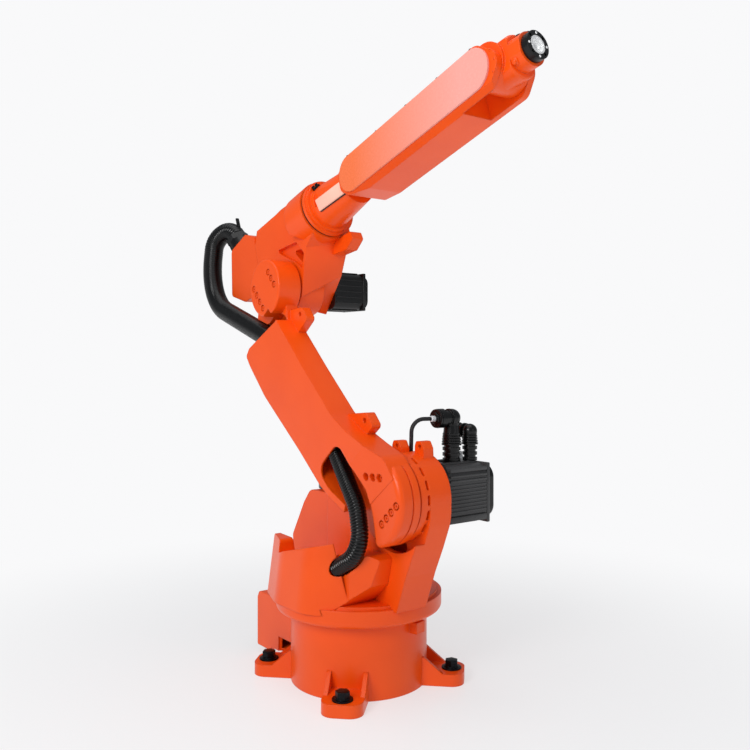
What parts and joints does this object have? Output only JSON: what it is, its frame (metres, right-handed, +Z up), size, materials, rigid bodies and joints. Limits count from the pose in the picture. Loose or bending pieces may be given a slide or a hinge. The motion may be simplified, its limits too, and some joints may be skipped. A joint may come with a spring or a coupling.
{
  "type": "six-axis industrial robot arm",
  "caption": "Floor-standing articulated robot arm in orange enamel with turret, offset lower arm, elbow, long forearm, bending wrist, tool flange, black motors and corrugated conduits",
  "frame": {"origin": "on the floor under the first joint axis, at the centre of the foot bolt circle", "axes": "+X forward over the arm, +Y to the robot's left, +Z up; the rest pose is the pictured one with the turret straight ahead"},
  "size_m": [1.096, 0.3497, 1.1865],
  "materials": {
    "orange_enamel": "smooth satin gloss enamel on cast aluminium",
    "black_enamel": "semi-matt black motor enamel",
    "black_plastic": "moulded black plastic",
    "bearing_steel": "ground steel, lightly oiled",
    "polished_steel": "polished steel mounting face",
    "conduit_polyamide": "corrugated black polyamide conduit"
  },
  "bodies": {
    "base": {"base_casting": "orange_enamel", "base_bearing_ring": "bearing_steel", "base_connector_box": "orange_enamel", "base_connector_plate": "black_enamel", "base_motor_plug": "black_plastic", "base_data_plug": "bearing_steel", "base_air_port": "bearing_steel"},
    "turret": {"turret_casting": "orange_enamel", "turret_side_cover": "orange_enamel", "turret_rear_housing": "orange_enamel", "j1_motor_cap": "black_enamel", "j2_motor_seat": "black_enamel", "j2_motor_body": "black_enamel", "j2_motor_cap": "black_plastic", "j2_power_plug": "black_plastic", "j2_signal_plug": "black_plastic", "j2_lead": "black_plastic", "lower_conduit": "conduit_polyamide"},
    "lower_arm": {"lower_arm_casting": "orange_enamel", "j2_gear_unit": "bearing_steel", "j3_gear_unit": "bearing_steel"},
    "elbow": {"elbow_housing": "orange_enamel", "elbow_rear_box": "orange_enamel", "elbow_box_lid": "orange_enamel", "upper_conduit_gland": "black_plastic", "upper_conduit": "conduit_polyamide", "j3_motor_body": "black_enamel", "j3_motor_cap": "black_plastic", "roll_seal_ring": "black_plastic", "roll_stop_block": "orange_enamel"},
    "forearm": {"forearm_neck": "orange_enamel", "forearm_casting": "orange_enamel", "forearm_near_cover": "orange_enamel", "forearm_far_cover": "orange_enamel"},
    "wrist": {"wrist_housing": "orange_enamel"},
    "tool_flange": {"tool_ring": "black_enamel", "tool_face": "polished_steel"}
  },
  "joints": [
    {"name": "j1_turn", "type": "hinge", "parent": "base", "child": "turret", "pos_m": [0, 0, 0.146], "axis": [0, 0, 1], "range_deg": [-167, 167]},
    {"name": "j2_shoulder", "type": "hinge", "parent": "turret", "child": "lower_arm", "pos_m": [0.165, 0, 0.391], "axis": [0, 1, 0], "range_deg": [-52.6, 177.4], "deforming": ["lower_conduit"]},
    {"name": "j3_elbow", "type": "hinge", "parent": "lower_arm", "child": "elbow", "pos_m": [-0.21665, 0, 0.80897], "axis": [0, -1, 0], "range_deg": [-40.6, 135.4], "deforming": ["upper_conduit"]},
    {"name": "j4_roll", "type": "hinge", "parent": "elbow", "child": "forearm", "pos_m": [-0.25583, 0, 0.93711], "axis": [0.9563, 0, 0.2924], "range_deg": [-150, 150]},
    {"name": "j5_wrist_bend", "type": "hinge", "parent": "forearm", "child": "wrist", "pos_m": [0.40402, 0, 1.13885], "axis": [0, -1, 0], "range_deg": [-105, 115]},
    {"name": "j6_tool_roll", "type": "hinge", "parent": "wrist", "child": "tool_flange", "pos_m": [0.49009, 0, 1.15714], "axis": [0.9781, 0, 0.2079], "range_deg": [-360, 360]}
  ]
}
